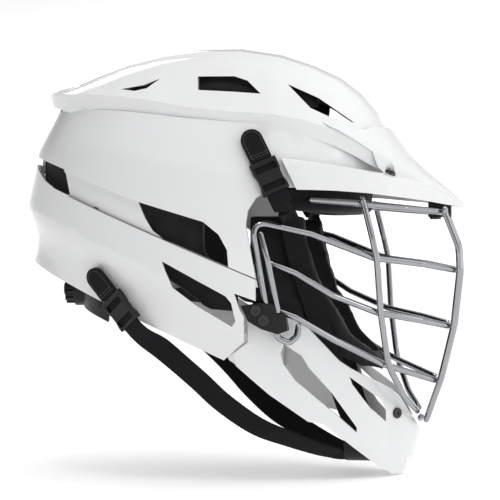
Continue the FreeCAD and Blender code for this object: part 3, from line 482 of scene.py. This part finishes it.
def cushion(name, node, body, channels=(), slack=0.0013, swell=0.0024, voxel=0.0035, fill=0.7):
    """A foam pad: the node's form, drawn in a little, to be puffed up by cloth pressure later."""
    mesh = merged_copy(name, node)
    obj = new_piece(name, mesh, None)
    remesh = obj.modifiers.new("even skin", "REMESH")
    remesh.mode = "VOXEL"
    remesh.voxel_size = voxel
    obj.data = bpy.data.meshes.new_from_object(obj.evaluated_get(bpy.context.evaluated_depsgraph_get()))
    obj.modifiers.clear()
    form = bmesh.new()
    form.from_mesh(obj.data)
    form.normal_update()
    for vertex, way in [(v, v.normal.copy()) for v in form.verts]:
        vertex.co -= way * slack
    for k in range(2):
        bmesh.ops.smooth_vert(form, verts=form.verts, factor=0.4, use_axis_x=True, use_axis_y=True,
                              use_axis_z=True)
    form.to_mesh(obj.data)
    form.free()
    obj.data.name = name
    cushions.append((obj, node, body, channels, swell, fill))
    cloth = obj.modifiers.new("air", "CLOTH")
    cloth.settings.use_pressure = True
    cloth.settings.uniform_pressure_force = 4.0
    cloth.settings.effector_weights.gravity = 0.0
    cloth.settings.quality = 4
    cloth.point_cache.frame_start = 1
    cloth.point_cache.frame_end = puff_frames


def puff_up():
    """Runs the cloth of every cushion together, then keeps, caps and finishes each result."""
    for frame_number in range(1, puff_frames + 1):
        bpy.context.scene.frame_set(frame_number)
    graph = bpy.context.evaluated_depsgraph_get()
    for obj, node, body, channels, swell, fill in cushions:
        rest = [v.co.copy() for v in obj.data.vertices]
        blown = bpy.data.meshes.new_from_object(obj.evaluated_get(graph))
        for vertex, start in zip(blown.vertices, rest):
            move = vertex.co - start
            if move.length > swell:
                vertex.co = start + move.normalized() * swell
        blown.update()
        ways = [v.normal.copy() for v in blown.vertices]
        for vertex, way in zip(blown.vertices, ways):
            depth = 0.0
            for across, at, width, deep in channels:
                off = abs(vertex.co.dot(Vector(across)) - at) / width
                depth = max(depth, deep * (1 - min(off, 1.0) ** 2) ** 2)
            vertex.co -= way * depth
        obj.modifiers.clear()
        name = obj.data.name
        obj.data = blown
        blown.name = name + "_foam"
        blown.shade_smooth()
        soft = obj.modifiers.new("soft", "SUBSURF")
        soft.levels = soft.render_levels = 1
        wear(obj, foam_black)
        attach(obj, body)
        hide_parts(node)
    bpy.context.scene.frame_set(1)


# A channel is the way across it, its place on that way, its half width and its depth.
across_x, across_y, across_z = (1, 0, 0), (0, 1, 0), (0, 0, 1)
side_channels = [(across_z, 0.038, 0.005, 0.0022), (across_x, -0.018, 0.005, 0.0022)]
cushion("side_cushion_left", "liner_side_left", "helmet", side_channels)
cushion("side_cushion_right", "liner_side_right", "helmet", side_channels)
cushion("rear_cushion", "liner_rear", "helmet",
        [(across_y, -0.035, 0.005, 0.0022), (across_y, 0.035, 0.005, 0.0022)])
cushion("forehead_cushion", "liner_front", "helmet", [(across_y, 0.0, 0.005, 0.002)])
cushion("brow_cushion", "brow_pad", "helmet", [(across_z, 0.0385, 0.003, 0.0012)],
        slack=0.001, swell=0.0018, voxel=0.003)
cushion("crown_cushion", "liner_crown", "helmet",
        [(across_x, -0.02, 0.005, 0.0022), (across_x, 0.04, 0.005, 0.0022)], voxel=0.004)
cushion("crown_flank_cushions", "liner_crown_flanks", "helmet", [(across_x, 0.012, 0.005, 0.0022)],
        voxel=0.004)
jaw_channels = [(across_z, -0.03, 0.005, 0.002)]
cushion("jaw_cushion_left", "jaw_pad_left", "helmet", jaw_channels)
cushion("jaw_cushion_right", "jaw_pad_right", "helmet", jaw_channels)
cushion("nape_cushion", "cradle_pad", "cradle",
        [(across_y, -0.022, 0.004, 0.0016), (across_y, 0.022, 0.004, 0.0016)],
        slack=0.0008, swell=0.0014, voxel=0.0025)
cushion("chin_cushion", "chin_cup_pad", "chin_cup", [(across_y, 0.0, 0.003, 0.001)],
        slack=0.0006, swell=0.001, voxel=0.0018)
puff_up()

# Webbing: flat black polypropylene straps, 16 mm wide, from the two fittings on each side to the
# chin cup. The upper one runs inside the face guard and the lower one under the jaw.
webbing_black = Paint("webbing_black", IOR=1.35, Specular_IOR_Level=0.15, Sheen_Weight=0.04,
                      Sheen_Roughness=0.4)
along, wide = webbing_black.parts(webbing_black.place("UV"))[:2]
ribs = (along * (2 * math.pi / 0.0017)).sine() * (wide * (2 * math.pi / 0.0011)).sine()
twill = ribs * 0.5 + (wide * (2 * math.pi / 0.0022)).sine().size() * 0.5
fuzz = webbing_black.grain(1800.0, 3.0)
webbing_black.colour(twill * 0.6 + fuzz * 0.4, (0.004, 0.004, 0.005), (0.020, 0.020, 0.022))
webbing_black.set("Roughness", fuzz * 0.2 + 0.55)
webbing_black.raise_surface(twill, 0.00022, 0.8)
strap_width = 0.016
strap_thickness = 0.0016
line_steps = 7


def spread(points):
    """A smooth line through points, or through the ways that they face."""
    line = []
    last = len(points) - 1
    for k in range(last):
        a, b, c, d = points[max(k - 1, 0)], points[k], points[k + 1], points[min(k + 2, last)]
        for j in range(line_steps):
            t = j / line_steps
            line.append(0.5 * (2 * b + (c - a) * t + (2 * a - 5 * b + 4 * c - d) * t ** 2
                               + (3 * b - 3 * c + d - a) * t ** 3))
    return line + [points[-1]]


def ribbon(name, line, ways, width, thickness, paint, measure=0.0):
    """Flat webbing with rounded selvedges along a line, and the length measured up to its end.

    The ways are where its outer face looks, and measure is the length before it.
    """
    half = [(-0.5, -0.2), (-0.485, -0.42), (-0.44, -0.5), (-0.2, -0.5), (0.2, -0.5), (0.44, -0.5),
            (0.485, -0.42), (0.5, -0.2)]
    profile = half + [(-a, -b) for a, b in half]
    form = bmesh.new()
    marks = form.loops.layers.uv.new("weave")
    rings, lengths = [], [measure]
    for k, point in enumerate(line):
        heading = (line[min(k + 1, len(line) - 1)] - line[max(k - 1, 0)]).normalized()
        out = (ways[k] - heading * heading.dot(ways[k])).normalized()
        side = heading.cross(out)
        rings.append([form.verts.new(point + side * (width * a) + out * (thickness * b)) for a, b in profile])
        if k:
            lengths.append(lengths[-1] + (point - line[k - 1]).length)
    count = len(profile)
    for k in range(len(rings) - 1):
        for j in range(count):
            face = form.faces.new((rings[k][j], rings[k][(j + 1) % count], rings[k + 1][(j + 1) % count],
                                   rings[k + 1][j]))
            for corner, (ring, place) in zip(face.loops, ((k, j), (k, j + 1), (k + 1, j + 1), (k + 1, j))):
                corner[marks].uv = (lengths[ring], width * profile[place % count][0])
    for ring in (rings[0], rings[-1]):
        form.faces.new(ring)
    bmesh.ops.recalc_face_normals(form, faces=form.faces)
    mesh = bpy.data.meshes.new(name)
    form.to_mesh(mesh)
    form.free()
    mesh.shade_smooth()
    mesh.set_sharp_from_angle(angle=math.radians(50))
    obj = new_piece(name, mesh, None)
    wear(obj, paint)
    return obj, lengths[-1]


# The straps end on the chin cup, the upper ones on its sides and the lower ones on its rear edge.
cup_middle = Vector((0.125, 0, -0.1335))
cup_wall_radius = 0.02575
cup_half_length = 0.012
side_angle = 65
rear_angle = 40
seat_gap = 0.0002
straight_end = 0.005


def cup_edge(angle, up=0.0, forward=0.0):
    """A point on the chin cup's wall and the way out, at an angle from the cup's lowest line."""
    turn = math.radians(angle)
    out = Vector((0, -math.sin(turn), -math.cos(turn)))
    rise = Vector((0, -math.cos(turn), math.sin(turn)))
    return cup_middle + out * cup_wall_radius + rise * up + Vector((forward, 0, 0)), out


upper_end, upper_out = cup_edge(side_angle, seat_gap)
lower_end, lower_out = cup_edge(rear_angle, 0, -cup_half_length - seat_gap)
upper_route = mm((60.6, -95.8, 64.3), (74.8, -99.9, 35.9), (76, -95, 31), (79, -84.3, 22.5), (82, -80.2, 9),
                 (86, -77.5, -10), (93, -70.5, -33), (100, -62, -58), (108, -52.6, -84), (116, -41.8, -112),
                 (122, -32, -129)) + [cup_edge(side_angle, seat_gap + straight_end)[0], upper_end]
upper_facing = [Vector(way) for way in (
    (0.21, -0.947, 0.242), (0.21, -0.947, 0.242), (0.3, -1, 0.5), (0.45, -0.89, 0.3), (0.45, -0.89, 0),
    (0.45, -0.89, 0), (0.45, -0.89, 0), (0.45, -0.89, 0), (0.45, -0.89, 0), (0.4, -0.9, 0),
    (0.15, -0.95, -0.2), upper_out, upper_out)]
lower_route = mm((-50.1, -95.9, -33.4), (-30, -98.1, -58.1), (-14, -89.5, -71), (0, -87, -83), (14, -82, -96),
                 (30, -74.5, -112), (53, -60, -130), (76, -43, -141), (97, -26, -150)) \
    + [lower_end - Vector((straight_end, 0, 0)), lower_end]
lower_facing = [Vector(way) for way in (
    (-0.423, -0.866, -0.265), (-0.423, -0.866, -0.265), (0, -1, -0.15), (0, -1, -0.25), (0.1, -1, -0.35),
    (0.2, -1, -0.5), (0.2, -0.9, -0.6), (0.1, -0.8, -0.7), (0, -0.68, -0.74), lower_out, lower_out)]
# The last figure is the route point where the strap's head ends.
straps = {"upper": (upper_route, upper_facing, 5), "lower": (lower_route, lower_facing, 4)}
for place, (route, facing, joint) in straps.items():
    for side in ("right", "left"):
        turn = list if side == "right" else mirrored
        line, ways = spread(turn(route)), spread(turn(facing))
        split = joint * line_steps
        head, length = ribbon(place + "_webbing_head_" + side, line[:split + 1], ways[:split + 1],
                              strap_width, strap_thickness, webbing_black)
        rest = ribbon(place + "_webbing_" + side, line[split:], ways[split:],
                      strap_width, strap_thickness, webbing_black, length)[0]
        place + "_tab_" + side
        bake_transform(head)
        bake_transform(rest)
        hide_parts(place + "_strap_" + side)
        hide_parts(place + "_strap_" + side)

# Strap fittings: each strap ends in a folded, stitched tab that turns on a snap stud hidden
# behind it, and is taken up by a waisted buckle that slides on the webbing.
stitch_thread = Paint("stitch_thread", IOR=1.4)
stitch_thread.colour(stitch_thread.grain(2500.0), (0.02, 0.02, 0.021), (0.075, 0.075, 0.08))
stitch_thread.set("Roughness", stitch_thread.grain(1500.0) * 0.2 + 0.55)
stitch_tree = Tree("stitches")
stitch_tree.sizes("Thread radius", "Stitch length")
stitch = stitch_tree.cylinder(7, stitch_tree.inputs["Thread radius"], stitch_tree.inputs["Stitch length"])
stitch_tree.set_out(stitch, stitch_thread)
stitch_sizes = {"Thread radius": 0.00035, "Stitch length": 0.0018}
stitch_pitch = 0.0024
stud_steel = Paint("stud_steel", Metallic=1.0)
stud_steel.colour(stud_steel.grain(200.0), (0.42, 0.42, 0.43), (0.56, 0.56, 0.57))
stud_steel.set("Roughness", stud_steel.grain(900.0) * 0.2 + 0.25)
# Each fitting's foot on the shell in millimetres, the way down the strap, the way out and the tab's lift.
fittings = {"upper": ((52.578, -90.192, 77.845), (0.44355, -0.1277, -0.8871),
                      (0.21052, -0.94726, 0.24161), 2.2),
            "lower": ((-57.962, -89.806, -19.214), (0.62824, -0.0704, -0.77483),
                      (-0.42335, -0.86649, -0.26453), 4.2)}
tab_top = 0.003
tab_half = 0.008
seam_inset = 0.0017
seam_end = 0.014
cross_seams = (0.0115, 0.0135)
arc_steps = 8


def seam(start, end):
    """Stitches set out evenly from start to end."""
    count = max(1, round((end - start).length / stitch_pitch))
    return [(start + (end - start) * ((k + 0.5) / count), (end - start).normalized()) for k in range(count)]


for place, (foot, down, out, lift) in fittings.items():
    for side in ("right", "left"):
        turn = 1 if side == "right" else -1
        foot_m = Vector((foot[0], foot[1] * turn, foot[2])) / 1000
        down_m = Vector((down[0], down[1] * turn, down[2]))
        out_m = Vector((out[0], out[1] * turn, out[2]))
        side_m = down_m.cross(out_m)
        body = place + "_tab_" + side
        tab = moulded(place + "_end_tab_" + side, body, body, webbing_black, 0.0007)
        marks = tab.data.uv_layers.new(name="weave")
        for corner in tab.data.loops:
            point = tab.data.vertices[corner.vertex_index].co - foot_m
            marks.data[corner.index].uv = (point.dot(down_m), point.dot(side_m))

        def at(along, across):
            """A place on the tab's outer face."""
            return foot_m + down_m * along + side_m * across + out_m * (lift / 1000 + tab_top)

        edge = tab_half - seam_inset
        angles = [math.pi * (0.5 + k / arc_steps) for k in range(arc_steps + 1)]
        corners = [at(seam_end, edge)] + [at(edge * math.cos(a), edge * math.sin(a)) for a in angles]
        corners.append(at(seam_end, -edge))
        places = []
        for one, two in zip(corners, corners[1:]):
            places += seam(one, two)
        for cross in cross_seams:
            places += seam(at(cross, -edge), at(cross, edge))
        thread = set_out(place + "_tab_stitches_" + side, stitch_tree, places, body, **stitch_sizes)
        glide = place + "_glide_" + side
        moulded(place + "_buckle_" + side, glide, glide, plastic_black, 0.0006)
        wear(nodes[place + "_stud_" + side], stud_steel)

# Chin cup: a curved nylon plate under the chin, moulded in one piece and lined with a foam cushion.
# It hangs on the four straps, which meet on its sides and its rear edge.
moulded("chin_cup_plate", "chin_cup", "chin_cup", plastic_black, 0.0008)

# Nape fit system: a nylon cradle with a gripped dial that turns on an axle in its housing and
# draws the cradle in, tied to the shell by two thin bands.
moulded("nape_cradle", "fit_cradle", "cradle", plastic_black, 0.0007)
moulded("nape_dial_housing", "dial_housing", "cradle", plastic_black, 0.0005)
moulded("nape_dial", "fit_dial", "dial", plastic_black, 0.0004)
moulded("nape_dial_cap", "dial_screw", "cradle", screw_black, 0.0003)
wear(nodes["dial_axle"], stud_steel)
band_width = 0.012
band_thickness = 0.0015
band_route = mm((-68.6, -48.5, -39), (-60.6, -54.0, -39), (-50, -63, -38.5), (-38, -77, -38),
                (-26, -91, -36.5), (-12, -94.5, -37.5))
for side in ("right", "left"):
    line = spread(band_route if side == "right" else mirrored(band_route))
    up = Vector((0, 0, 1))
    ways = []
    for k in range(len(line)):
        heading = line[min(k + 1, len(line) - 1)] - line[max(k - 1, 0)]
        ways.append(heading.cross(up) * (1 if side == "right" else -1))
    band = ribbon("nape_band_" + side, line, ways, band_width, band_thickness, plastic_black)[0]
    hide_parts("fit_band_" + side)
    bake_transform(band)

# The studio: a plain pale floor under a graded white sky, with a soft lamp overhead, one in front
# and one behind, and the camera at the photograph's angle. None of it belongs to the helmet.
floor_height = -0.17
floor_radius = 12.0
floor_paint = Paint("floor_pale", Roughness=0.9, Emission_Color=(1, 1, 1, 1), Emission_Strength=0.42)
floor_paint.colour(floor_paint.grain(3.0), (0.76, 0.76, 0.76), (0.79, 0.79, 0.79))
form = bmesh.new()
bmesh.ops.create_circle(form, cap_ends=True, segments=64, radius=floor_radius)
for vertex in form.verts:
    vertex.co.z = floor_height
mesh = bpy.data.meshes.new("floor")
form.to_mesh(mesh)
form.free()
floor = new_piece("floor", mesh, None)
wear(floor, floor_paint)
world = bpy.data.worlds.new("studio")
bpy.context.scene.world = world
world.use_nodes = True
sky = Nodes(world.node_tree)
sky_x, sky_y, sky_z = sky.parts(sky.node("TexCoord", {}, {}, "Generated"))
# Bright behind the helmet and overhead, with a darker gap between that the chrome reflects as a line.
horizon = (1.0 - sky_z.size() * 3.0).at_least(0.0)
gap = (1.0 - (sky_z - 0.42).size() * 3.2).at_least(0.0)
glow = sky_x * 0.60 + sky_z * 0.80 + horizon * (sky_y * 0.58 + 0.46) + 0.45 - gap * 0.5
sky.tree.links.new(glow.socket, world.node_tree.nodes["Background"].inputs["Strength"])
world.node_tree.nodes["Background"].inputs["Color"].default_value = (1, 1, 1, 1)
aim = Vector((0.0389, 0, 0))
lamps = [("overhead", (-0.1, -0.7, 1.6), 0.3, 3.8), ("front", (1.5, -0.5, 0.6), 0.25, 0.8),
         ("back", (-0.5, 1.3, 0.9), 0.4, 2.0)]
for name, place, width, watts in lamps:
    lamp = bpy.data.lights.new(name, "AREA")
    lamp.size = width
    lamp.energy = watts
    obj = bpy.data.objects.new(name, lamp)
    obj.location = aim + Vector(place)
    obj.rotation_euler = (-Vector(place)).to_track_quat("-Z", "Y").to_euler()
    bpy.context.scene.collection.objects.link(obj)
azimuth = math.radians(8)
camera_distance = 1.4
back = Vector((math.sin(azimuth), -math.cos(azimuth), 0))
camera = bpy.data.objects.new("camera", bpy.data.cameras.new("camera"))
camera.data.sensor_width = 36
camera.data.lens = 130.9
camera.location = aim + back * camera_distance
camera.rotation_euler = back.to_track_quat("Z", "Y").to_euler()
bpy.context.scene.collection.objects.link(camera)
bpy.context.scene.camera = camera
bpy.context.scene.view_settings.view_transform = "Standard"
